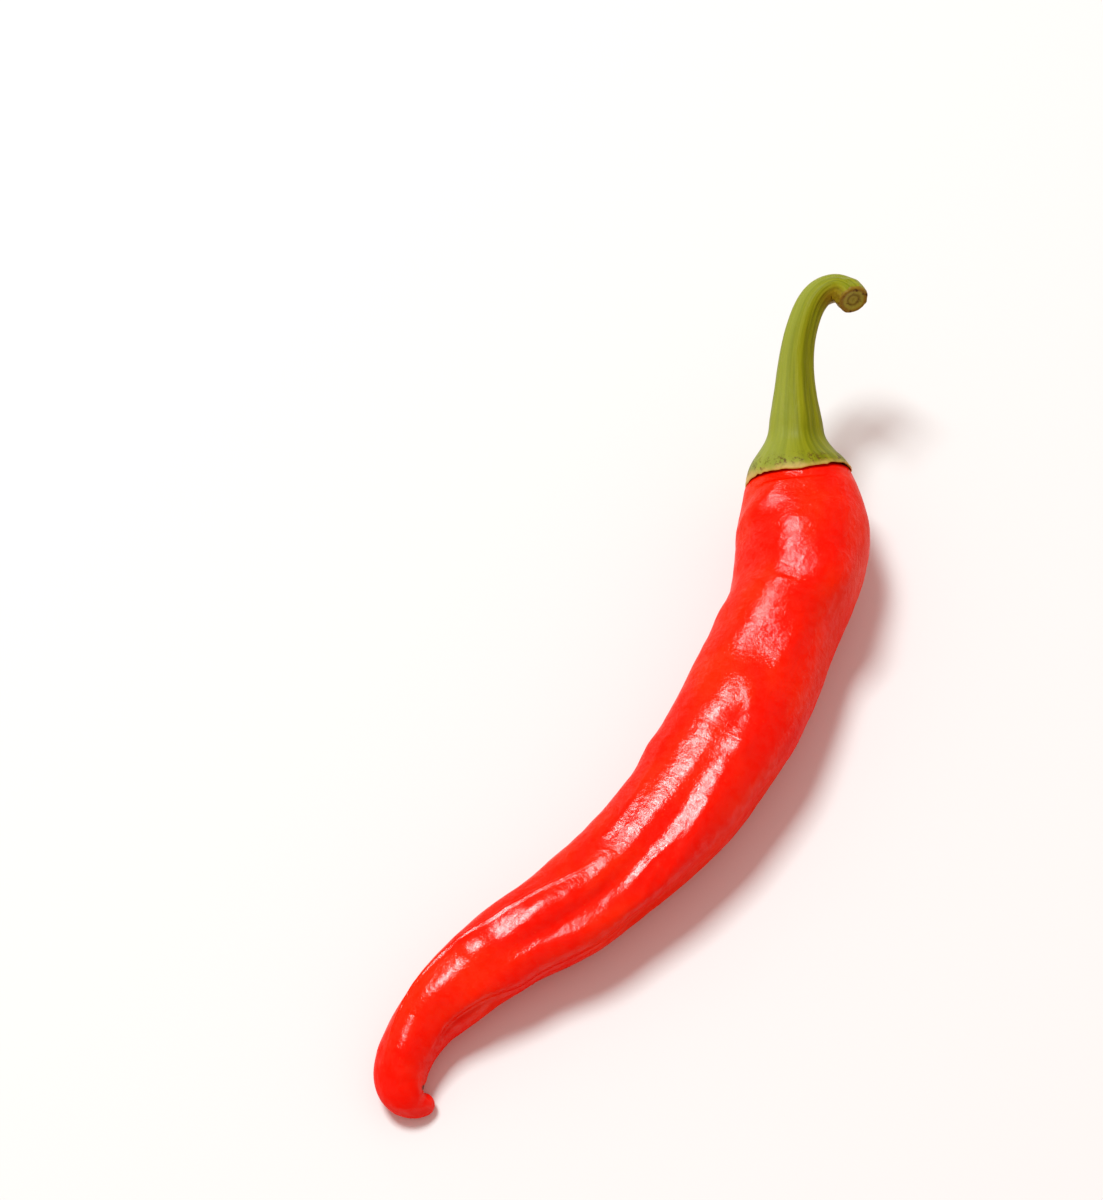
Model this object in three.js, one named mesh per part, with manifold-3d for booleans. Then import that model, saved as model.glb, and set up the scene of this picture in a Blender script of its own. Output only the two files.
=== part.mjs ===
// A long red chilli pepper lying on its side: a curved pod that ends in a small hook, and the
// green stem, whose flared calyx sits on the pod's shoulder.
// Millimetres. +X runs from the tip towards the stem, +Z is up, and the origin is the middle of
// the footprint on the surface that the pepper lies on.

import * as THREE from 'three';
import { mergeVertices } from 'three/addons/utils/BufferGeometryUtils.js';
import Module from 'manifold-3d';

const wasm = await Module();
wasm.setup();

// ---- Driving dimensions of the pod ----

const podLength = 147; // along the curve, from the calyx rim to the end of the hook
const crownHeight = 2.6; // the rounded crown that the calyx covers
const rimWidth = 19; // across the pod at the calyx rim
const shoulderWidth = 24.4; // the widest place, just below the calyx
const waistWidth = 21.8; // the slight waist below the shoulder
const bellyWidth = 23.2;
const middleWidth = 19.6;
const neckWidth = 15; // where the pod starts to narrow towards its tip
const hookWidth = 9.2; // where the hook begins
const hookEndWidth = 4.4; // across the rounded end of the hook

const rimLift = 6.4; // clear height under the pod at the calyx rim, which the stem holds up
const neckLift = 0.5; // the neck arches a little before the hook touches down
const settle = 0.25; // how far the soft wall is pressed flat where it rests

// ---- Driving dimensions of the stem ----

const stemLength = 43; // along the curve, from the calyx rim to the cut end
const calyxLip = 1.2; // height of the lip's top edge above the rim
const calyxThroatWidth = 9.4; // where the flare has narrowed to the base of the stalk
const stalkWidth = 6.1;
const stalkHookWidth = 5.4; // the stalk is thinnest in its hook
const cutEndWidth = 5.2; // the cut end is a little swollen
const cutDish = 0.4; // depth of the hollow in the cut end
const stalkRibs = 5; // low ribs that run up the stalk
const ribHeight = 0.05; // as a share of the radius there
const firstRibAngle = -8; // degrees round the stalk from its top

// ---- Fits and fineness ----

const calyxOverhang = 0.1; // the calyx rim stands this far out past the pod's own rim
const seatGap = 0.3; // between the calyx and the pod's crown
const plugDepth = 1; // how far the calyx solid reaches into the pod before the pod is cut out
const plugTaper = 0.8; // and how much narrower it is there than at the rim
const podRings = 60;
const podSides = 28;
const ringCrowding = 1.4; // above 1, the pod's rings come closer together towards the hook
const crownSteps = 6;
const capSteps = 4;
const stemRings = 38;
const stemSides = 25;
const walkStep = 0.25; // step along a centre line
const tightestBend = 0.85; // share of a bend's radius that its inner side may reach

const calyxWidth = rimWidth + 2 * calyxOverhang;

const podColour = 0xd81808;
const stemColour = 0x8d9a3a;

const UP = new THREE.Vector3(0, 0, 1);

/** A smooth curve through [place, value] points, held level past its two ends. */
function through(points) {
  const places = points.map(([place]) => place);
  const values = points.map(([, value]) => value);
  const spline = new THREE.CubicInterpolant(places, values, 1);
  return (place) => spline.evaluate(place)[0];
}

// ---- Shape of the pod, by share of its length from the calyx rim ----

const podWidth = through([
  [0, rimWidth],
  [0.03, 0.45 * rimWidth + 0.55 * shoulderWidth],
  [0.078, shoulderWidth],
  [0.2, waistWidth],
  [0.32, bellyWidth],
  [0.44, 0.7 * bellyWidth + 0.3 * middleWidth],
  [0.55, middleWidth],
  [0.78, neckWidth],
  [0.87, 0.4 * neckWidth + 0.6 * hookWidth],
  [0.95, hookWidth],
  [0.982, 0.6 * hookWidth + 0.4 * hookEndWidth],
  [1, hookEndWidth],
]);

// The way that the pod heads, in degrees from -X towards -Y.
const podTurn = through([
  [0, 33],
  [0.075, 22],
  [0.13, 9],
  [0.2, 3.5],
  [0.31, 0],
  [0.435, -9],
  [0.56, -22],
  [0.63, -25],
  [0.69, -35],
  [0.78, -27],
  [0.86, -16.5],
  [0.91, 0],
  [0.952, 22],
  [0.976, 58],
  [0.99, 95],
  [1, 130],
]);

// Clear height under the pod.
const podLift = through([
  [0, rimLift],
  [0.028, 0.52 * rimLift],
  [0.075, 0.14 * rimLift],
  [0.13, 0],
  [0.6, 0],
  [0.8, neckLift],
  [0.93, 0],
  [1, 0],
]);

// Long folds of the wall. Angles are round the pod from its top, positive towards +Y; a fold's
// height is negative where it is a furrow.
const podFolds = [
  {
    // the upper ridge, which drifts to the back towards the tip
    angle: through([[0.3, 22], [0.42, 16], [0.56, 8], [0.68, 16], [0.8, 32], [0.92, 38]]),
    height: through([[0.26, 0], [0.4, 0.5], [0.8, 0.4], [0.95, 0]]),
    spread: 18,
  },
  {
    // the front ridge
    angle: through([[0.34, -8], [0.46, -22], [0.6, -44], [0.72, -44], [0.86, -46]]),
    height: through([[0.3, 0], [0.45, 0.6], [0.75, 0.5], [0.93, 0]]),
    spread: 14,
  },
  {
    // the furrow between the two ridges
    angle: through([[0.42, -3], [0.5, -12], [0.6, -22], [0.7, -30], [0.8, -20]]),
    height: through([[0.38, 0], [0.52, -0.7], [0.68, -0.8], [0.84, 0]]),
    spread: 12,
  },
  {
    // the keel low on the front
    angle: through([[0.3, -68], [0.8, -70], [0.92, -60]]),
    height: through([[0.22, 0], [0.4, 0.4], [0.85, 0.4], [0.96, 0]]),
    spread: 16,
  },
  {
    // the low ridge at the back
    angle: through([[0.1, 96], [0.6, 104], [0.9, 100]]),
    height: through([[0.05, 0], [0.25, 0.2], [0.8, 0.15], [0.95, 0]]),
    spread: 20,
  },
];

/** How far the folds stand out of the round wall at a place along and an angle round the pod. */
function foldHeight(share, degrees) {
  let height = 0;
  for (const fold of podFolds) {
    const away = THREE.MathUtils.euclideanModulo(degrees - fold.angle(share) + 180, 360) - 180;
    height += fold.height(share) * Math.exp(-((away / fold.spread) ** 2));
  }
  return height;
}

// ---- Centre lines ----

/** Walks a centre line from start and returns the frame at any distance along it. */
function centreLine(start, length, direction) {
  const points = [start.clone()];
  const steps = Math.round(length / walkStep);
  const step = length / steps;
  for (let i = 0; i < steps; i += 1) {
    const ahead = direction((i + 0.5) * step).multiplyScalar(step);
    points.push(points[i].clone().add(ahead));
  }
  return (along) => {
    const inside = THREE.MathUtils.clamp(along, 0, length);
    const i = Math.min(Math.floor(inside / step), steps - 1);
    const tangent = direction(inside);
    const centre = points[i].clone().lerp(points[i + 1], inside / step - i);
    centre.addScaledVector(tangent, along - inside);
    const side = tangent.clone().cross(UP).normalize();
    const top = side.clone().cross(tangent);
    const before = Math.max(inside - step, 0);
    const after = Math.min(inside + step, length);
    const curl = direction(after).sub(direction(before)).divideScalar(after - before);
    return { centre, side, top, curl };
  };
}

/** A unit vector from its compass angle and its slope, both in radians. */
function heading(compass, slope) {
  const level = Math.cos(slope);
  return new THREE.Vector3(level * Math.cos(compass), level * Math.sin(compass), Math.sin(slope));
}

/** Height of the pod's centre above the surface it lies on. */
function podCentreHeight(along) {
  const share = along / podLength;
  return podWidth(share) / 2 + podLift(share) - settle;
}

/** Slope of the pod's centre line, from the heights a little before and after. */
function podSlope(along) {
  const before = Math.max(along - 1, 0);
  const after = Math.min(along + 1, podLength);
  return Math.asin((podCentreHeight(after) - podCentreHeight(before)) / (after - before));
}

const podDirection = (along) => {
  const compass = Math.PI + THREE.MathUtils.degToRad(podTurn(along / podLength));
  return heading(compass, podSlope(along));
};

const rimCentre = new THREE.Vector3(0, 0, podCentreHeight(0));
const podFrame = centreLine(rimCentre, podLength, podDirection);

// The stem leaves the pod in line with it. From there this is how far it has turned to the front
// and how far it has lifted, in degrees, by share of its length: it hooks over at its end.
const stemTurn = through([
  [0, 0],
  [0.1, 8],
  [0.3, 11],
  [0.44, 15],
  [0.6, 27],
  [0.72, 40],
  [0.79, 60],
  [0.85, 95],
  [0.91, 142],
  [1, 172],
]);

const stemRise = through([
  [0, 0],
  [0.5, 4],
  [0.7, 1],
  [0.82, -6],
  [1, -6],
]);

const stemDirection = (along) => {
  const share = along / stemLength;
  const turn = podTurn(0) - stemTurn(share);
  const rise = THREE.MathUtils.degToRad(stemRise(share));
  return heading(THREE.MathUtils.degToRad(turn), rise - podSlope(0));
};

const stemFrame = centreLine(rimCentre, stemLength, stemDirection);

// ---- Solids ----

/**
 * Bends a lathed form, whose axis is Y, onto a centre line. swell(along, degrees, radius) adds to
 * the radius; degrees are round the axis from the top, positive towards +Y. The inner side of a
 * tight bend is squeezed, as flesh is, so that it doesn't fold over itself.
 */
function bend(geometry, frameAt, swell) {
  const place = geometry.attributes.position;
  for (let i = 0; i < place.count; i += 1) {
    const along = place.getY(i);
    const radius = Math.hypot(place.getX(i), place.getZ(i));
    const round = Math.atan2(place.getX(i), place.getZ(i));
    const { centre, side, top, curl } = frameAt(along);
    // side points towards +Y on the pod, which is walked towards -X, and to -Y on the stem
    const towardsY = Math.sign(side.y) * Math.sin(round);
    const degrees = THREE.MathUtils.radToDeg(Math.atan2(towardsY, Math.cos(round)));
    const out = top.multiplyScalar(Math.cos(round)).addScaledVector(side, Math.sin(round));
    const inward = Math.max(out.dot(curl), 1e-6);
    const reach = radius + (radius > 0 ? swell(along, degrees, radius) : 0);
    centre.addScaledVector(out, Math.min(reach, tightestBend / inward));
    place.setXYZ(i, centre.x, centre.y, centre.z);
  }
  return geometry;
}

/** One closed manifold solid from a geometry, with its shared vertices merged. */
function solid(geometry) {
  const bare = geometry.clone();
  bare.deleteAttribute('normal');
  bare.deleteAttribute('uv');
  const merged = mergeVertices(bare, 1e-4);
  return new wasm.Manifold(
    new wasm.Mesh({
      numProp: 3,
      vertProperties: Float32Array.from(merged.attributes.position.array),
      triVerts: Uint32Array.from(merged.index.array),
    }),
  );
}

/** The geometry of a manifold solid. */
function geometryOf(body) {
  const mesh = body.getMesh();
  const geometry = new THREE.BufferGeometry();
  geometry.setAttribute('position', new THREE.BufferAttribute(mesh.vertProperties, 3));
  geometry.setIndex(new THREE.BufferAttribute(mesh.triVerts, 1));
  geometry.computeVertexNormals();
  return geometry;
}

/** The pod's outline as radius and distance along, from the top of the crown to the hook's end. */
function podOutline(grow) {
  const outline = [new THREE.Vector2(0, -crownHeight - grow)];
  for (let i = 1; i < crownSteps; i += 1) {
    const turn = (i / crownSteps) * (Math.PI / 2);
    const radius = (rimWidth / 2) * Math.sin(turn) + grow;
    outline.push(new THREE.Vector2(radius, -(crownHeight + grow) * Math.cos(turn) ** 1.1));
  }
  for (let i = 0; i <= podRings; i += 1) {
    const share = 1 - (1 - i / podRings) ** ringCrowding;
    outline.push(new THREE.Vector2(podWidth(share) / 2 + grow, share * podLength));
  }
  const capRadius = hookEndWidth / 2 + grow;
  for (let i = 1; i < capSteps; i += 1) {
    const turn = (i / capSteps) * (Math.PI / 2);
    const along = podLength + capRadius * Math.sin(turn);
    outline.push(new THREE.Vector2(capRadius * Math.cos(turn), along));
  }
  outline.push(new THREE.Vector2(0, podLength + capRadius));
  return outline;
}

/** The pod, or the same form grown outwards by a gap for the calyx to be cut by. */
function podGeometry(grow = 0) {
  const lathed = new THREE.LatheGeometry(podOutline(grow), podSides);
  return bend(lathed, podFrame, (along, degrees) => {
    const share = THREE.MathUtils.clamp(along / podLength, 0, 1);
    return foldHeight(share, degrees);
  });
}

/** Presses a form flat where it would sink into the surface. */
function restOnSurface(geometry) {
  const place = geometry.attributes.position;
  for (let i = 0; i < place.count; i += 1) {
    place.setZ(i, Math.max(place.getZ(i), 0));
  }
  return geometry;
}

const stemWidth = through([
  [0, calyxWidth],
  [0.035, 0.8 * calyxWidth + 0.2 * calyxThroatWidth],
  [0.08, 0.5 * calyxWidth + 0.5 * calyxThroatWidth],
  [0.14, 0.15 * calyxWidth + 0.85 * calyxThroatWidth],
  [0.23, calyxThroatWidth],
  [0.37, 0.4 * calyxThroatWidth + 0.6 * stalkWidth],
  [0.52, stalkWidth],
  [0.78, stalkHookWidth],
  [0.92, stalkHookWidth],
  [1, cutEndWidth],
]);

/** The stem's outline before the pod is cut out of it: a solid trumpet and the stalk. */
function stemOutline() {
  const outline = [new THREE.Vector2(0, -plugDepth)];
  outline.push(new THREE.Vector2((plugTaper * calyxWidth) / 2, -plugDepth));
  for (let i = 0; i <= stemRings; i += 1) {
    const share = i / stemRings;
    const along = THREE.MathUtils.lerp(calyxLip, stemLength, share);
    outline.push(new THREE.Vector2(stemWidth(share) / 2, along));
  }
  outline.push(new THREE.Vector2(0.4 * cutEndWidth, stemLength + cutDish / 2));
  outline.push(new THREE.Vector2(0.2 * cutEndWidth, stemLength - cutDish));
  outline.push(new THREE.Vector2(0, stemLength - cutDish));
  return outline;
}

/** Ribs run up the stalk from the calyx and fade out at the hook. */
function stemRibs(along, degrees, radius) {
  const share = along / stemLength;
  const strength = THREE.MathUtils.smoothstep(share, 0.06, 0.3);
  const phase = stalkRibs * THREE.MathUtils.degToRad(degrees - firstRibAngle);
  return ribHeight * radius * strength * Math.cos(phase);
}

function stemGeometry() {
  const lathed = new THREE.LatheGeometry(stemOutline(), stemSides);
  const whole = solid(bend(lathed, stemFrame, stemRibs));
  const seat = solid(podGeometry(seatGap));
  return geometryOf(whole.subtract(seat));
}

// ---- The pepper ----

function part(name, geometry, colour, roughness) {
  const material = new THREE.MeshStandardMaterial({ color: colour, roughness, metalness: 0 });
  const mesh = new THREE.Mesh(geometry, material);
  mesh.name = name;
  return mesh;
}

const pepper = new THREE.Group();
pepper.add(part('pod', restOnSurface(podGeometry()), podColour, 0.25));
pepper.add(part('stem', stemGeometry(), stemColour, 0.6));

// The footprint's middle goes to the origin.
const extent = new THREE.Box3().setFromObject(pepper, true);
pepper.position.x = -(extent.min.x + extent.max.x) / 2;
pepper.position.y = -(extent.min.y + extent.max.y) / 2;
pepper.position.z = -extent.min.z;

export default pepper;
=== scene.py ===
"""A long red chilli pepper lying on its side: the looks of its pod and of its stem."""

import math

import bpy
import numpy as np
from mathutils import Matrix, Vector, noise


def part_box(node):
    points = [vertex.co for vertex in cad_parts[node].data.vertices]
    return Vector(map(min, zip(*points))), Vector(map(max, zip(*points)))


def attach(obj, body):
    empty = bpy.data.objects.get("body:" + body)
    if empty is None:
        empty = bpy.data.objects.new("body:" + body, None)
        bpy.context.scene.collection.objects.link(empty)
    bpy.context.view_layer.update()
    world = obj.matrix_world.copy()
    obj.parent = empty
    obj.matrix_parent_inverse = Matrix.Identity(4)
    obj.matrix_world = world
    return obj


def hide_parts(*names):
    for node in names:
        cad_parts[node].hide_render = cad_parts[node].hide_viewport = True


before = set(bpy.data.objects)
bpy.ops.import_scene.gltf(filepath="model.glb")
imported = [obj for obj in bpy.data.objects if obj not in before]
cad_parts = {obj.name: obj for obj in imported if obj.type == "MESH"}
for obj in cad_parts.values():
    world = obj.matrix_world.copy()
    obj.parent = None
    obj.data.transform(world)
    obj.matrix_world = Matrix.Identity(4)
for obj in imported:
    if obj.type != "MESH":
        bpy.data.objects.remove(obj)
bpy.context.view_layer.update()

MM = 0.001

# ---- Curves and centre lines, in millimetres ----


def through(points):
    """A smooth curve through (place, value) points, held level past its two ends."""
    places, values = np.array(points, float).T
    steps = np.diff(values) / np.diff(places)
    slopes = np.concatenate([steps[:1], (steps[:-1] + steps[1:]) / 2, steps[-1:]])

    def value_at(place):
        inside = np.clip(place, places[0], places[-1])
        i = np.clip(np.searchsorted(places, inside, side="right") - 1, 0, len(places) - 2)
        gap = places[i + 1] - places[i]
        t = (inside - places[i]) / gap
        start = values[i] * (1 + 2 * t) * (1 - t) ** 2 + slopes[i] * gap * t * (1 - t) ** 2
        return start + values[i + 1] * t * t * (3 - 2 * t) - slopes[i + 1] * gap * t * t * (1 - t)

    return value_at


def fade_in(place, start, length):
    """A share that grows from 0 at start to 1 a length past it."""
    return np.clip((place - start) / length, 0, 1)


def fade_out(place, end, length):
    """A share that falls from 1 a length before the end to 0 at the end."""
    return np.clip((end - place) / length, 0, 1)


def heading(compass, slope):
    """Unit vectors from compass angles and slopes, both in radians."""
    level = np.cos(slope)
    return np.stack([level * np.cos(compass), level * np.sin(compass), np.sin(slope)], -1)


def unit(vectors):
    return vectors / np.linalg.norm(vectors, axis=-1, keepdims=True)


class CentreLine:
    """A line walked from start in short steps, and the frame that goes along with it."""

    STEP = 0.25

    def __init__(self, start, length, direction):
        count = round(length / self.STEP)
        self.length = length
        self.direction = direction
        self.places = np.linspace(0, length, count + 1)
        middles = (self.places[1:] + self.places[:-1]) / 2
        walk = np.cumsum(direction(middles) * (length / count), axis=0)
        self.points = np.vstack([start, start + walk])

    def frame(self, along):
        """Centre, side, top and curl (the turn per millimetre) at each place along."""
        inside = np.clip(along, 0, self.length)
        tangent = self.direction(inside)
        centre = np.stack([np.interp(inside, self.places, axis) for axis in self.points.T], -1)
        centre += tangent * (along - inside)[:, None]
        side = unit(np.cross(tangent, (0, 0, 1)))
        top = np.cross(side, tangent)
        after = np.clip(inside + self.STEP, 0, self.length)
        before = np.clip(inside - self.STEP, 0, self.length)
        curl = (self.direction(after) - self.direction(before)) / (after - before)[:, None]
        return centre, side, top, curl


# ---- The pod's run, from the calyx rim to the end of its hook ----

POD_LENGTH = 147
RIM_WIDTH = 19
SETTLE = 0.25
CROWN_HEIGHT = 2.6
HOOK_END_WIDTH = 4

POD_WIDTH = through([
    (0, 19), (2.2, 20.6), (4.4, 21.9), (8, 23.5), (11.5, 24.4), (18, 23.8), (29.4, 21.8),
    (47, 23.2), (64.7, 22.1), (80.9, 19.6), (114.7, 15), (127.9, 11.3), (139.6, 8.8), (143.4, 7.2),
    (145.4, 5.4), (147, 4),
])

# Degrees from -X towards -Y.
POD_TURN = through([
    (0, 33), (11, 22), (19.1, 9), (29.4, 3.5), (45.6, 0), (63.9, -9), (82.3, -22), (92.6, -25),
    (101.4, -35), (114.7, -28.5), (126.4, -18.5), (133.8, -1), (139.9, 22), (143.5, 58),
    (145.5, 95), (147, 130),
])

POD_LIFT = through([
    (0, 6.4), (2, 4.85), (4.1, 3.6), (7.5, 1.95), (11, 0.85), (15, 0.3), (19.1, 0), (88.2, 0),
    (117.6, 0.5), (136.7, 0), (147, 0),
])


# The height of the pod's upper side: it falls in three long slopes, with dips between them.
TOP_HEIGHT = through([
    (0, 24.4), (4, 24.6), (8, 24.9), (12, 25.3), (14.5, 25.45), (16, 25.3), (23, 24), (25, 23.7),
    (27.5, 23.9), (29, 23.7), (43, 21.2), (45, 21.1), (47.5, 21.7), (50, 21.8), (54, 21.5),
    (62, 20.6), (80, 18.2), (92, 17.1), (100, 16.9), (106, 16.7), (108.5, 16.4),
    (112, 15.7), (114, 15.55), (117, 15.2), (118.5, 14.9), (126, 13.3), (128.5, 12.3), (131, 11.5),
    (136, 10.2), (140, 9),
])


def pod_height(along):
    return POD_WIDTH(along) / 2 + POD_LIFT(along) - SETTLE


def pod_slope(along):
    before = np.maximum(along - 1, 0)
    after = np.minimum(along + 1, POD_LENGTH)
    return np.arcsin((pod_height(after) - pod_height(before)) / (after - before))


def pod_direction(along):
    return heading(math.pi + np.radians(POD_TURN(along)), pod_slope(along))


# The rim's centre, by the CAD pod's far corner.
_, pod_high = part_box("pod")
RIM_INSET = (6.42, 24.19)
RIM_CENTRE = np.array([
    pod_high.x / MM - RIM_INSET[0],
    pod_high.y / MM - RIM_INSET[1],
    float(pod_height(0.0)),
])
pod_line = CentreLine(RIM_CENTRE, POD_LENGTH, pod_direction)

# ---- The stem's run, from the calyx rim to its cut end ----

STEM_LENGTH = 43

STEM_TURN = through([
    (0, -1), (4.3, 6), (12.9, 8.5), (18.9, 12), (25.8, 24), (31, 38), (34, 60), (36.6, 95),
    (39.1, 142), (43, 172),
])
STEM_RISE = through([(0, 0), (21.5, 4), (30.1, 1), (35.3, -6), (43, -6)])


def stem_direction(along):
    compass = np.radians(POD_TURN(0.0) - STEM_TURN(along))
    return heading(compass, np.radians(STEM_RISE(along)) - pod_slope(np.zeros_like(along)))


stem_line = CentreLine(RIM_CENTRE, STEM_LENGTH, stem_direction)

# ---- Making a piece: a tube drawn out ring by ring, refined, then shaped and bent ----


def deselect_all():
    if bpy.context.object and bpy.context.object.mode != "OBJECT":
        bpy.ops.object.mode_set(mode="OBJECT")
    bpy.ops.object.select_all(action="DESELECT")


def drawn_tube(name, outline, sides):
    """A closed tube along +X, through (along, radius) rings, with a pole at each end."""
    deselect_all()
    (start, start_radius), *rings, (end, _) = outline[1:]
    bpy.ops.mesh.primitive_circle_add(
        vertices=sides,
        radius=start_radius * MM,
        location=(start * MM, 0, 0),
        rotation=(0, math.pi / 2, 0),
    )
    piece = bpy.context.object
    piece.name = name
    bpy.ops.object.transform_apply(location=True, rotation=True, scale=True)
    bpy.ops.object.mode_set(mode="EDIT")
    bpy.ops.mesh.select_all(action="SELECT")
    last, last_radius = start, start_radius
    for along, radius in rings:
        draw_out((along - last) * MM)
        widen = radius / last_radius
        bpy.ops.transform.resize(value=(1, widen, widen), center_override=(along * MM, 0, 0))
        last, last_radius = along, radius
    draw_out((end - last) * MM)
    bpy.ops.mesh.merge(type="CENTER")
    bpy.ops.mesh.select_all(action="DESELECT")
    bpy.ops.mesh.select_non_manifold(extend=False, use_wire=False, use_multi_face=False)
    draw_out((outline[0][0] - start) * MM)
    bpy.ops.mesh.merge(type="CENTER")
    bpy.ops.object.mode_set(mode="OBJECT")
    face_outwards(piece)
    return piece


def face_outwards(piece):
    """Turns the faces outwards. Bending a piece towards its other side turns them inside out."""
    deselect_all()
    piece.select_set(True)
    bpy.context.view_layer.objects.active = piece
    bpy.ops.object.mode_set(mode="EDIT")
    bpy.ops.mesh.select_all(action="SELECT")
    bpy.ops.mesh.normals_make_consistent(inside=False)
    bpy.ops.object.mode_set(mode="OBJECT")


def draw_out(distance):
    bpy.ops.mesh.extrude_region_move(TRANSFORM_OT_translate={"value": (distance, 0, 0)})


def refine(piece, levels):
    bpy.context.view_layer.objects.active = piece
    finer = piece.modifiers.new("finer", "SUBSURF")
    finer.levels = levels
    finer.render_levels = levels
    bpy.ops.object.modifier_apply(modifier=finer.name)


class Wall:
    """A straight piece's wall while it is shaped: each point's place along, angle and radius."""

    def __init__(self, piece):
        self.piece = piece
        place = np.empty(len(piece.data.vertices) * 3)
        piece.data.vertices.foreach_get("co", place)
        self.along, across, up = place.reshape(-1, 3).T / MM
        self.radius = np.hypot(across, up)
        self.angle = np.arctan2(across, up)
        self.degrees = np.degrees(self.angle)

    def away(self, degrees):
        """Degrees from the given angle, the short way round."""
        return (self.degrees - degrees + 180) % 360 - 180

    def ridge(self, path, height, spread):
        """A ridge, or a furrow, along a path of (along, degrees), with its height by place."""
        away = self.away(through(path)(self.along))
        self.radius += through(height)(self.along) * np.exp(-((away / spread) ** 2))

    def fold(self, path, height, rise, fall):
        """A ridge whose slope towards the top and whose slope away from it differ."""
        away = self.away(through(path)(self.along))
        spread = np.where(away > 0, rise, fall)
        self.radius += through(height)(self.along) * np.exp(-((away / spread) ** 2))

    def swell(self, along, degrees, height, length, spread, lean=0):
        """A soft lump, or a dent, leaning by lean millimetres along per degree round."""
        away = self.away(degrees)
        off = self.along - along - lean * away
        self.radius += height * np.exp(-((off / length) ** 2) - (away / spread) ** 2)

    def straight(self):
        across = self.radius * np.sin(self.angle)
        up = self.radius * np.cos(self.angle)
        return np.stack([self.along, across, up], -1)

    def speckle(self, size, octaves=1):
        """Seamless noise over the straight form; size is the grain along and across, in mm."""
        places = self.straight() / np.array([size[0], size[1], size[1]])
        return np.array([noise.fractal(p, 1.0, 2.0, octaves) for p in places])

    def keep(self, layer, places):
        kept = self.piece.data.attributes.new(layer, "FLOAT_VECTOR", "POINT")
        kept.data.foreach_set("vector", (places * MM).astype(np.float32).ravel())

    def bend_onto(self, line, towards, tightest=0.85):
        """Bends the straight form onto a centre line, and keeps the straight place as a layer."""
        self.keep("straight", self.straight())
        centre, side, top, curl = line.frame(self.along)
        out = top * np.cos(self.angle)[:, None] + towards * side * np.sin(self.angle)[:, None]
        inward = np.maximum((out * curl).sum(-1), 1e-6)
        reach = np.minimum(self.radius, tightest / inward)
        place = centre + out * reach[:, None]
        place[:, 2] = np.maximum(place[:, 2], 0)
        self.piece.data.vertices.foreach_set("co", (place * MM).ravel())
        self.piece.data.update()
        face_outwards(self.piece)


# ---- Pod ----

POD_SIDES = 44
RING_STEP = 1.25
CREST = 5
CREST_SPREAD = 38


def crown_outline(gap=0.0):
    """The crown that the calyx covers, from its pole to the rim, or the seat a gap above it."""
    last = math.radians(80)
    outline = []
    for t in np.linspace(0, last, 9):
        rise = CROWN_HEIGHT * (math.cos(t) - math.cos(last)) / (1 - math.cos(last))
        radius = RIM_WIDTH / 2 * math.sin(t) / math.sin(last)
        outline.append((-rise - gap * math.cos(t), radius + gap * math.sin(t)))
    return outline


def pod_outline():
    crown = crown_outline()
    rings = np.linspace(0, POD_LENGTH, round(POD_LENGTH / RING_STEP) + 1)[1:]
    body = [(s, float(POD_WIDTH(s)) / 2) for s in rings]
    cap = [
        (POD_LENGTH + HOOK_END_WIDTH / 2 * math.sin(t), HOOK_END_WIDTH / 2 * math.cos(t))
        for t in np.radians(np.arange(15, 91, 15))
    ]
    return crown + body + cap


# Along, degrees, height and length.
FLANK_LUMPS = (
    (26, 78, -0.3, 3), (33, 76, 0.35, 3.5), (65, 74, 0.35, 3), (71, 74, -0.2, 3), (96, 76, 0.25, 3),
    (104, 76, -0.2, 3), (52, -82, 0.3, 4), (61, -82, -0.25, 4), (70, -84, 0.3, 4),
    (88, -84, -0.2, 4), (113, -84, 0.3, 2.5), (119, -80, -0.25, 2.5), (127, -78, 0.25, 2.5),
)


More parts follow.
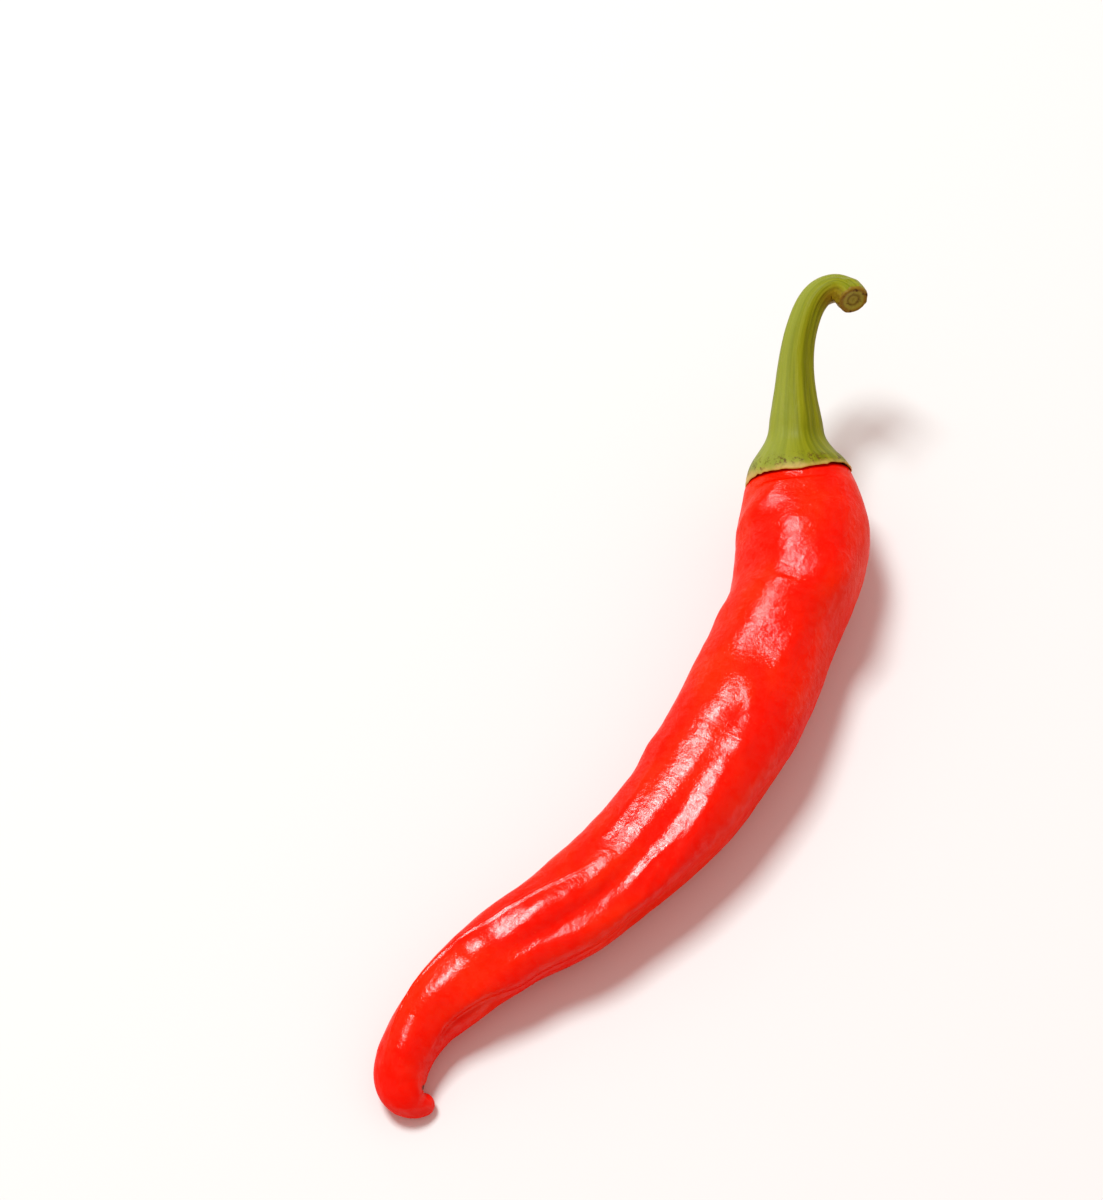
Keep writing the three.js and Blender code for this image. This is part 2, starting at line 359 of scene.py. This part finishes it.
def sculpt_pod(wall):
    """The folds, furrows, lumps and wrinkles of the wall. Degrees are from the top, + to the back."""
    upper_ridge = [
        (44, 18), (56, 14), (70, 9), (85, 4), (93, 12), (99, 19), (111, 25), (118, 31), (131, 35),
    ]
    front_ridge = [
        (52, -17), (59, -25), (67, -30), (74, -40), (80, -49), (86, -60), (93, -57), (99, -51),
        (110, -44), (118, -45), (126, -50),
    ]
    furrow = [
        (52, -2), (60, -8), (70, -13), (80, -20), (90, -27), (100, -29), (108, -28), (116, -22),
    ]
    wall.fold(
        upper_ridge,
        [
            (42, 0), (55, -0.1), (80, -0.05), (92, 0.05), (112, 0.1), (119, 0.4), (127, 0.4),
            (138, 0),
        ],
        rise=22,
        fall=16,
    )
    wall.fold(
        front_ridge,
        [
            (50, 0), (57, 0.12), (64, 0.34), (70, 0.5), (84, 0.76), (92, 0.6), (100, 0.42),
            (112, 0.3), (128, 0),
        ],
        rise=9,
        fall=20,
    )
    wall.ridge(
        furrow,
        [
            (48, 0), (55, -0.25), (64, -0.42), (70, -0.56), (84, -0.86), (94, -0.95), (104, -0.7),
            (114, -0.3), (120, 0),
        ],
        spread=13,
    )
    # the front ridge forks for a short way
    wall.ridge([(76, -32), (85, -35), (91, -42)], [(75, 0), (83, 0.22), (92, 0)], spread=3.4)
    wall.ridge([(76, -32), (84, -44), (89, -56)], [(77, 0), (84, 0.22), (91, 0)], spread=3.4)
    # the keel low on the front, and the wall that turns under below it
    keel = [
        (30, -80), (60, -66), (95, -62), (106, -67), (114, -66), (121, -50), (128, -45), (136, -54),
    ]
    wall.fold(
        keel,
        [(30, 0), (56, 0.35), (90, 0.5), (112, 0.55), (127, 0.55), (138, 0)],
        rise=20,
        fall=9,
    )
    under = [(30, -112), (60, -98), (106, -97), (114, -96), (121, -80), (128, -75), (136, -84)]
    wall.ridge(
        under,
        [(36, 0), (56, -0.7), (88, -0.8), (100, -0.4), (125, -0.4), (137, 0)],
        spread=20,
    )
    wall.ridge(
        [(88, -72), (106, -77), (114, -76), (121, -60), (128, -55), (136, -64)],
        [(88, 0), (98, -0.35), (127, -0.35), (136, 0)],
        spread=7,
    )
    # the lower half lies a little to the front, and the hook is fuller on its outer side
    wall.ridge(
        [(90, -76), (138, -76)],
        [(92, 0), (99, 0.7), (110, 0.6), (119, 1.2), (123, 1.3), (129, 0.6), (137, 0)],
        spread=30,
    )
    wall.ridge(
        [(90, 76), (138, 76)],
        [(94, 0), (104, -0.4), (116, -0.7), (124, -0.5), (132, -0.3), (137, 0)],
        spread=30,
    )
    wall.swell(142, 80, 0.8, 5, 45)
    # a low ridge on the back flank, and the fine raised line along the crest of the lower half
    wall.ridge([(64, 46), (73, 38), (86, 28)], [(62, 0), (72, 0.2), (80, 0.2), (90, 0)], spread=6)
    wall.ridge(
        upper_ridge,
        [(88, 0), (96, 0.2), (110, 0.26), (119, 0.38), (131, 0.34), (137, 0)],
        spread=2.3,
    )
    # the long slopes of the upper side, level across the belly
    rise = TOP_HEIGHT(wall.along) - pod_height(wall.along) - POD_WIDTH(wall.along) / 2
    rise *= fade_out(wall.along, 142, 5) * fade_in(wall.along, -1, 3)
    wall.radius += rise * np.exp(-((wall.away(CREST) / CREST_SPREAD) ** 2))
    wall.ridge([(26, 2), (46, 2)], [(26, 0), (28, -0.5), (42, -0.5), (45, 0)], spread=21)
    wall.ridge([(13, 9), (25, -3)], [(13, 0), (15, -0.3), (22, -0.3), (25, 0)], spread=18)
    wall.ridge([(103, 3), (115, 3)], [(103, 0), (107, -0.2), (113, -0.2), (115, 0)], spread=20)
    wall.ridge([(117, 14), (128, 14)], [(117, 0), (119, -0.28), (125, -0.28), (128, 0)], spread=20)
    # the shoulder is broad towards the back, with a shallow dip on its crown
    wall.ridge(
        [(0, 24), (4.4, 35), (9.6, 48), (12, 57)],
        [(0, 0.15), (3, 1.1), (10, 1.3), (15, 0)],
        spread=18,
    )
    wall.swell(7, 0, -0.2, 4, 14)
    wall.swell(10.5, -15, 0.25, 2.2, 8)
    # small lumps and dips beside the slopes
    wall.swell(22, -38, 1.9, 5.2, 25)
    wall.swell(22, 32, -0.6, 4, 20)
    wall.swell(24.5, 5, -0.15, 2.2, 26, lean=-0.14)
    wall.swell(38, -24, 0.3, 4.5, 8)
    wall.swell(42, -19, 0.2, 3, 8)
    wall.swell(50, -6, 0.12, 1.6, 5)
    wall.swell(52, -15, 0.15, 1.6, 5)
    wall.swell(55, -13, -0.28, 2.4, 9)
    wall.swell(59, -27, 0.34, 2, 7)
    wall.swell(62.3, -23, -0.18, 1.4, 9)
    wall.swell(68.5, -28, -0.16, 1.2, 9)
    # uneven edges on the two flanks
    for along, degrees, height, length in FLANK_LUMPS:
        wall.swell(along, degrees, height, length, 24)
    # short creases across the waist
    wall.swell(22.8, 3, -0.1, 0.5, 10, lean=-0.03)
    wall.swell(25.3, 0, -0.12, 0.5, 8, lean=-0.03)
    wall.swell(27.2, -3, -0.08, 0.5, 7, lean=-0.03)
    # soft unevenness all over, and low waves across the crest of the middle
    wall.radius += 0.17 * wall.speckle((9, 6))
    wall.radius += 0.07 * wall.speckle((2.6, 2.2))
    away = wall.away(through(upper_ridge)(wall.along))
    band = through([(44, 0), (52, 1), (80, 1), (92, 0)])(wall.along)
    wall.radius += 0.018 * band * np.exp(-((away / 14) ** 2)) * wall.speckle((0.8, 4))


def make_pod():
    pod = drawn_tube("pod_skin", pod_outline(), POD_SIDES)
    refine(pod, 2)
    wall = Wall(pod)
    body = (wall.along > -CROWN_HEIGHT) & (wall.along < POD_LENGTH)
    plain = wall.radius.copy()
    sculpt_pod(wall)
    fade = fade_out(wall.along, POD_LENGTH + 1, 4) * fade_in(plain, 0, 3)
    wall.radius = plain + (wall.radius - plain) * fade * body
    wall.bend_onto(pod_line, towards=1)
    return pod


# ---- Stem ----

STEM_SIDES = 40
SEAT_GAP = 0.12
FIBRE_RADIUS = 4
STALK_RIBS = 5
FIRST_RIB = -8
RIB_HEIGHT = 0.05
RIM_WAVE = through([
    (-180, 0), (-95, -0.5), (-78, -0.2), (-60, 0.9), (-40, 1.1), (-15, 0.9), (5, 0.6), (30, 1.0),
    (60, 0.9), (85, 0), (105, -0.9), (130, -0.2), (180, 0),
])


def stem_outline():
    seat = [(-s, radius) for s, radius in crown_outline(SEAT_GAP)]
    lip = [(-0.25, 9.75), (-0.15, 9.9), (0.1, 9.95), (0.5, 9.75)]
    width = through([
        (1.2, 19.0), (2.7, 17.2), (4.5, 14.2), (6.8, 11), (10.8, 9.4), (16.7, 7.4), (23, 6.1),
        (33.9, 5.3), (38, 5.3), (41, 5.8), (43, 5.7),
    ])
    flare = [(s, float(width(s)) / 2) for s in np.arange(1.2, 42.5, 0.8)]
    cut = [
        (42.7, 2.8), (42.95, 2.65), (43, 2.4), (42.85, 1.9), (42.7, 1.3), (42.65, 0.6), (42.65, 0),
    ]
    return seat + lip + flare + cut


def sculpt_stem(wall):
    """The wavy edge of the calyx, and the ribs and fibres of the stalk."""
    near_rim = np.exp(-((np.maximum(wall.along, 0) / 3.5) ** 2)) * fade_in(wall.radius, 3.2, 4)
    edge = RIM_WAVE(wall.degrees) + 0.25 * wall.speckle((50, 1.2), octaves=2)
    wall.along += edge * near_rim
    wall.radius -= 0.3 * np.maximum(edge, 0) * near_rim
    fade = fade_in(wall.along, 1, 8) * fade_out(wall.along, 42, 3)
    ribs = np.cos(STALK_RIBS * (wall.angle - math.radians(FIRST_RIB)))
    wall.radius *= 1 + RIB_HEIGHT * fade * ribs
    wall.radius += 0.05 * fade * wall.speckle((6, 0.7), octaves=2)
    near_end = fade_in(wall.along, 36, 4) * fade_in(wall.radius, 0, 2.4)
    wall.radius += 0.22 * near_end * wall.speckle((1.8, 1.3), octaves=2)


def make_stem():
    stem = drawn_tube("stem_tissue", stem_outline(), STEM_SIDES)
    refine(stem, 2)
    wall = Wall(stem)
    sculpt_stem(wall)
    # the same place round a tube of one width, so that the fibres keep to the stalk's length
    around = FIBRE_RADIUS * np.sin(wall.angle), FIBRE_RADIUS * np.cos(wall.angle)
    wall.keep("fibre", np.stack([wall.along, *around], -1))
    wall.bend_onto(stem_line, towards=-1)
    return stem


# ---- Materials ----


class Material:
    """A node material round one Principled shader."""

    def __init__(self, name):
        self.material = bpy.data.materials.new(name)
        self.material.use_nodes = True
        self.nodes = self.material.node_tree.nodes
        self.links = self.material.node_tree.links
        self.shader = self.nodes["Principled BSDF"]

    def node(self, kind, **settings):
        node = self.nodes.new(kind)
        for name, value in settings.items():
            setattr(node, name, value)
        return node

    def join(self, source, target):
        self.links.new(source, target)

    def place(self, stretch=(1, 1, 1), layer="straight"):
        """Places in millimetres, stretched, from a layer that the piece keeps."""
        source = self.node("ShaderNodeAttribute", attribute_name=layer).outputs["Vector"]
        mapping = self.node("ShaderNodeMapping")
        mapping.inputs["Scale"].default_value = [1000 * s for s in stretch]
        self.join(source, mapping.inputs["Vector"])
        return mapping.outputs["Vector"]

    def grain(self, stretch, detail=3, rough=0.55, layer="straight"):
        """Noise; stretch is its frequency per millimetre along each axis."""
        grain = self.node("ShaderNodeTexNoise")
        grain.inputs["Scale"].default_value = 1
        grain.inputs["Detail"].default_value = detail
        grain.inputs["Roughness"].default_value = rough
        self.join(self.place(stretch, layer), grain.inputs["Vector"])
        return grain.outputs["Fac"]

    def range(self, source, low, high, to_low=0.0, to_high=1.0):
        """Eases from to_low, where the source is low, to to_high, where it is high."""
        ranged = self.node("ShaderNodeMapRange", interpolation_type="SMOOTHSTEP")
        ranged.inputs["From Min"].default_value = low
        ranged.inputs["From Max"].default_value = high
        ranged.inputs["To Min"].default_value = to_low
        ranged.inputs["To Max"].default_value = to_high
        self.join(source, ranged.inputs["Value"])
        return ranged.outputs["Result"]

    def math(self, operation, first, second):
        node = self.node("ShaderNodeMath", operation=operation)
        for socket, value in zip(node.inputs, (first, second)):
            if isinstance(value, (int, float)):
                socket.default_value = value
            else:
                self.join(value, socket)
        return node.outputs["Value"]

    def blend(self, share, first, second):
        """Colour first where share is 0 and second where it is 1."""
        mix = self.node("ShaderNodeMix", data_type="RGBA")
        factor, colour_a, colour_b, mixed = mix.inputs[0], mix.inputs[6], mix.inputs[7], mix.outputs[2]
        self.join(share, factor)
        for socket, value in ((colour_a, first), (colour_b, second)):
            if isinstance(value, tuple):
                socket.default_value = (*value, 1)
            else:
                self.join(value, socket)
        return mixed

    def relief(self, height, distance, under=None):
        """Fine relief, distance millimetres high, on top of the relief under it."""
        bump = self.node("ShaderNodeBump")
        bump.inputs["Strength"].default_value = 1
        bump.inputs["Distance"].default_value = distance * MM
        self.join(height, bump.inputs["Height"])
        if under is not None:
            self.join(under, bump.inputs["Normal"])
        return bump.outputs["Normal"]

    def axis(self, which, layer="straight"):
        """One coordinate in millimetres: X is along, Y across, Z up."""
        split = self.node("ShaderNodeSeparateXYZ")
        self.join(self.place(layer=layer), split.inputs["Vector"])
        return split.outputs[which]

    def radius(self):
        """Millimetres out from the centre line."""
        length = self.node("ShaderNodeVectorMath", operation="LENGTH")
        self.join(self.place((0, 1, 1)), length.inputs[0])
        return length.outputs["Value"]

    def away_from(self, point):
        """Millimetres from a point of the straight form."""
        gap = self.node("ShaderNodeVectorMath", operation="DISTANCE")
        self.join(self.place(), gap.inputs[0])
        gap.inputs[1].default_value = point
        return gap.outputs["Value"]


DEEP_RED = (0.86, 0.01, 0.0004)
BRIGHT_RED = (0.88, 0.022, 0.0008)
ORANGE_FLECK = (0.88, 0.05, 0.01)
TIP_SPOT_BROWN = (0.09, 0.015, 0.005)
TIP_SPOT_PLACE = (144.3, -2.6, 1.9)


def waxy_red_skin():
    skin = Material("waxy_red_skin")
    shader = skin.shader.inputs
    along = skin.axis("X")
    blotches = skin.range(skin.grain((0.07, 0.1, 0.1), detail=2), 0.35, 0.7)
    colour = skin.blend(blotches, DEEP_RED, BRIGHT_RED)
    flecks = skin.range(skin.grain((1.6, 1.6, 1.6), detail=1), 0.66, 0.8, 0, 0.3)
    colour = skin.blend(flecks, colour, ORANGE_FLECK)
    # a small dark brown spot on the front of the tip, by the nub
    tip_spot = skin.range(skin.away_from(TIP_SPOT_PLACE), 0.5, 1.2, 1, 0)
    colour = skin.blend(tip_spot, colour, TIP_SPOT_BROWN)
    skin.join(colour, shader["Base Color"])
    gloss = skin.range(skin.grain((0.5, 0.4, 0.4), detail=4), 0.3, 0.7, 0.34, 0.46)
    skin.join(gloss, shader["Roughness"])
    shader["Specular IOR Level"].default_value = 0.03
    shader["Subsurface Weight"].default_value = 0.1
    shader["Subsurface Radius"].default_value = (1.0, 0.1, 0.04)
    shader["Subsurface Scale"].default_value = 2.5 * MM
    wax = skin.range(skin.grain((0.7, 0.6, 0.6), detail=3), 0.35, 0.6, 0.4, 0.78)
    facing = skin.node("ShaderNodeLayerWeight").outputs["Facing"]
    wax = skin.math("MULTIPLY", wax, skin.range(facing, 0.2, 0.7, 1, 0.15))
    skin.join(wax, shader["Coat Weight"])
    shader["Coat Roughness"].default_value = 0.16
    mottle = skin.grain((1.1, 0.95, 0.95), detail=5, rough=0.6)
    mottle = skin.math("MULTIPLY", mottle, skin.range(along, 44, 56, 1.8, 1))
    mottle = skin.relief(mottle, 0.1)
    across = skin.range(along, 44, 52, 0, 1)
    across = skin.math("MULTIPLY", across, skin.range(along, 84, 96, 1, 0))
    wrinkles = skin.math("MULTIPLY", skin.grain((1.3, 0.25, 0.25), detail=2), across)
    wrinkles = skin.relief(wrinkles, 0.05, under=mottle)
    skin.join(wrinkles, shader["Normal"])
    skin.join(wrinkles, shader["Coat Normal"])
    return skin.material


DARK_GREEN = (0.14, 0.16, 0.003)
LIGHT_GREEN = (0.25, 0.26, 0.012)
LIT_SIDE_GREEN = (0.3, 0.35, 0.07)
HOOK_SHADE_BROWN = (0.2, 0.09, 0.01)
SPECK_BROWN = (0.1, 0.06, 0.012)
EDGE_BEIGE = (0.55, 0.36, 0.1)
CUT_FLESH = (0.3, 0.27, 0.045)
CORK = (0.22, 0.14, 0.018)
INNER_RING = (0.15, 0.11, 0.014)
ROT = (0.06, 0.03, 0.006)


def green_tissue():
    tissue = Material("green_tissue")
    shader = tissue.shader.inputs
    along = tissue.axis("X")
    across = tissue.axis("Y", layer="fibre")
    streaks = tissue.range(tissue.grain((0.05, 1.4, 1.4), detail=3, layer="fibre"), 0.3, 0.7)
    colour = tissue.blend(streaks, DARK_GREEN, LIGHT_GREEN)
    # paler green along one side of the stalk, less so towards the hook: painted light on its lit side
    lit_side = tissue.range(across, -1, 3, 0, 0.5)
    painted_side_light = tissue.math("MULTIPLY", lit_side, tissue.range(along, 34, 40, 1, 0.3))
    colour = tissue.blend(painted_side_light, colour, LIT_SIDE_GREEN)
    # painted shade, tinted brown, on the inside of the hook's bend, and brown specks above the calyx
    # edge
    specks = tissue.range(tissue.grain((0.9, 0.9, 0.9), detail=4, rough=0.7), 0.5, 0.62)
    inner = tissue.math("MULTIPLY", tissue.range(along, 30, 36), tissue.range(across, -1, -3.5))
    colour = tissue.blend(tissue.math("MULTIPLY", inner, 0.6), colour, HOOK_SHADE_BROWN)
    low = tissue.range(along, 2.2, 4.5, 1, 0)
    colour = tissue.blend(tissue.math("MULTIPLY", low, specks), colour, SPECK_BROWN)
    edge = tissue.math("ADD", along, tissue.math("MULTIPLY", tissue.grain((0.6, 0.6, 0.6)), 1.6))
    colour = tissue.blend(tissue.range(edge, 1.1, 3, 1, 0), colour, EDGE_BEIGE)
    # the cut end: a corky ring, paler flesh, an inner ring and dark specks
    cut = tissue.range(along, 42.35, 42.6)
    uneven = tissue.math("MULTIPLY", tissue.grain((1.2, 1.2, 1.2)), 0.5)
    out = tissue.math("ADD", tissue.radius(), uneven)
    face = tissue.blend(tissue.range(out, 2, 2.5), CUT_FLESH, CORK)
    ring = tissue.math("MULTIPLY", tissue.range(out, 0.9, 1.3), tissue.range(out, 1.3, 1.8, 0.8, 0))
    face = tissue.blend(ring, face, INNER_RING)
    rot = tissue.range(tissue.grain((0.8, 0.8, 0.8), detail=4), 0.57, 0.66, 0, 0.9)
    face = tissue.blend(rot, face, ROT)
    colour = tissue.blend(cut, colour, face)
    tissue.join(colour, shader["Base Color"])
    shader["Roughness"].default_value = 0.5
    shader["Specular IOR Level"].default_value = 0.2
    shader["Subsurface Weight"].default_value = 0.1
    shader["Subsurface Radius"].default_value = (0.6, 1.0, 0.2)
    shader["Subsurface Scale"].default_value = 1.5 * MM
    fibres = tissue.relief(tissue.grain((0.08, 2.2, 2.2), detail=3, layer="fibre"), 0.1)
    pits = tissue.relief(tissue.grain((1.5, 1.5, 1.5), detail=3), 0.05, under=fibres)
    tissue.join(pits, shader["Normal"])
    return tissue.material


# ---- Stage ----

CAMERA_RISE = 60
CAMERA_TURN = 66
CAMERA_REACH = 615
LENS = 100
SENSOR = 36
AIM = (18.4, 32.24, 0)

# Its direction is given from the camera: right, away over the floor and up. Reach and size are metres.
SOFTBOX_DIRECTION = (-0.295, 0.265, 0.918)
SOFTBOX_REACH = 1.9
SOFTBOX_SIZE = 0.55
SOFTBOX_POWER = 33
SOFTBOX_COLOUR = (0.86, 0.99, 1)
FILL_COLOUR = (0.61, 0.44, 0.41)
FILL_STRENGTH = 1

FLOOR_SIZE = 6
FLOOR_COLOUR = (0.8, 0.785, 0.775)

# How bright the deep tones are, and how bright they are shown.
DEEP_TONES = ((0.015, 0.006), (0.04, 0.026), (0.1, 0.09), (0.2, 0.2))


def from_camera(right, away, up):
    """A direction given as the camera's right, away from it over the floor, and up."""
    turn = math.radians(90 - CAMERA_TURN)
    x_axis = Vector((math.sin(turn), -math.cos(turn), 0))
    y_axis = Vector((math.cos(turn), math.sin(turn), 0))
    return x_axis * right + y_axis * away + Vector((0, 0, up))


def make_camera():
    rise = math.radians(CAMERA_RISE)
    towards = from_camera(0, -math.cos(rise), math.sin(rise))
    camera = bpy.data.objects.new("camera", bpy.data.cameras.new("camera"))
    camera.data.lens = LENS
    camera.data.sensor_width = SENSOR
    camera.data.clip_start = 0.01
    camera.location = (Vector(AIM) + towards * CAMERA_REACH) * MM
    camera.rotation_euler = towards.to_track_quat("Z", "Y").to_euler()
    bpy.context.scene.collection.objects.link(camera)
    bpy.context.scene.camera = camera


def make_softbox():
    """A soft panel high on the camera's left, facing the pepper."""
    panel = bpy.data.lights.new("softbox", "AREA")
    panel.shape = "RECTANGLE"
    panel.size = SOFTBOX_SIZE
    panel.size_y = SOFTBOX_SIZE
    panel.energy = SOFTBOX_POWER
    panel.color = SOFTBOX_COLOUR
    lamp = bpy.data.objects.new("softbox", panel)
    towards = from_camera(*SOFTBOX_DIRECTION).normalized()
    lamp.location = towards * SOFTBOX_REACH
    lamp.rotation_euler = towards.to_track_quat("Z", "Y").to_euler()
    bpy.context.scene.collection.objects.link(lamp)


def make_floor():
    deselect_all()
    bpy.ops.mesh.primitive_plane_add(size=FLOOR_SIZE, location=(0, 0, 0))
    floor = bpy.context.object
    floor.name = "floor"
    paper = Material("white_paper")
    paper.shader.inputs["Base Color"].default_value = (*FLOOR_COLOUR, 1)
    paper.shader.inputs["Roughness"].default_value = 0.8
    paper.shader.inputs["Specular IOR Level"].default_value = 0.1
    floor.data.materials.append(paper.material)


def make_world():
    world = bpy.data.worlds.new("studio")
    world.use_nodes = True
    background = world.node_tree.nodes["Background"]
    background.inputs["Color"].default_value = (*FILL_COLOUR, 1)
    background.inputs["Strength"].default_value = FILL_STRENGTH
    bpy.context.scene.world = world


def set_tones():
    """Plain display colours, with a slight toe that keeps the deep reds clean."""
    tones = bpy.context.scene.view_settings
    tones.view_transform = "Standard"
    tones.use_curve_mapping = True
    toe = tones.curve_mapping.curves[3].points
    for bright, shown in DEEP_TONES:
        toe.new(bright, shown)
    tones.curve_mapping.update()


def finish_piece(piece, node, material):
    piece.data.materials.clear()
    piece.data.materials.append(material)
    deselect_all()
    piece.select_set(True)
    bpy.context.view_layer.objects.active = piece
    bpy.ops.object.shade_smooth()
    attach(piece, "root")
    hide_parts(node)


make_camera()
make_world()
make_floor()
make_softbox()
finish_piece(make_pod(), "pod", waxy_red_skin())
finish_piece(make_stem(), "stem", green_tissue())
set_tones()
